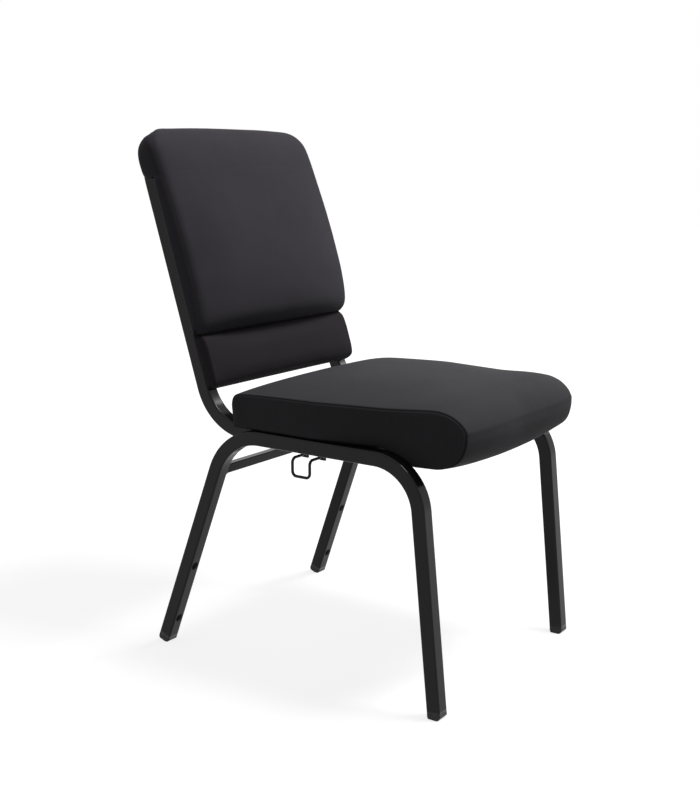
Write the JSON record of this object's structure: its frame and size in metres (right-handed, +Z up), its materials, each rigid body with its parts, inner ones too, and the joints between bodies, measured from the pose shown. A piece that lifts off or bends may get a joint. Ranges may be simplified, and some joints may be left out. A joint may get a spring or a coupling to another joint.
{
  "type": "choir chair",
  "caption": "Stacking choir chair with a bent square-tube frame, padded seat and back, and a sliding hook that gangs chairs in a row",
  "frame": {"origin": "centre of the chair's outline on the floor", "axes": "+Z up, the sitter faces -Y, the sitter's right side towards -X"},
  "size_m": [0.4948, 0.6918, 0.9401],
  "materials": {
    "frame_paint": "satin black powder coat",
    "glide_plastic": "moulded nylon, worn flat underneath",
    "bumper_rubber": "smooth black rubber",
    "plywood": "raw plywood",
    "foam": "open-cell polyurethane foam",
    "seat_fabric": "smooth charcoal upholstery",
    "back_fabric": "smooth charcoal upholstery",
    "lower_fabric": "smooth dark charcoal upholstery",
    "dust_cloth": "thin non-woven cloth",
    "panel_fabric": "smooth black upholstery on board",
    "bolt_steel": "black oxide",
    "nut_steel": "zinc plated",
    "wire_steel": "bright zinc plated wire"
  },
  "bodies": {
    "chair": {"right_leg_frame": "frame_paint", "left_leg_frame": "frame_paint", "rear_leg_brace": "frame_paint", "back_frame": "frame_paint", "front_seat_support": "frame_paint", "rear_seat_support": "frame_paint", "right_front_glide": "glide_plastic", "left_front_glide": "glide_plastic", "right_rear_glide": "glide_plastic", "left_rear_glide": "glide_plastic", "stack_bumpers": "bumper_rubber", "seat_board": "plywood", "seat_foam": "foam", "seat_cover": "seat_fabric", "seat_dust_cover": "dust_cloth", "seat_bolts": "bolt_steel", "seat_tee_nuts": "nut_steel", "back_board": "plywood", "back_foam": "foam", "back_cover": "back_fabric", "lower_back_foam": "foam", "lower_back_cover": "lower_fabric", "outer_back_panel": "panel_fabric", "back_bolts": "bolt_steel", "back_tee_nuts": "nut_steel", "ganging_guide": "frame_paint", "ganging_loop": "wire_steel"},
    "hook": {"ganging_hook": "wire_steel"}
  },
  "joints": [
    {"name": "hook_slide", "type": "slide", "parent": "chair", "child": "hook", "axis": [-1, 0, 0], "range_m": [-0.006, 0.022]}
  ]
}
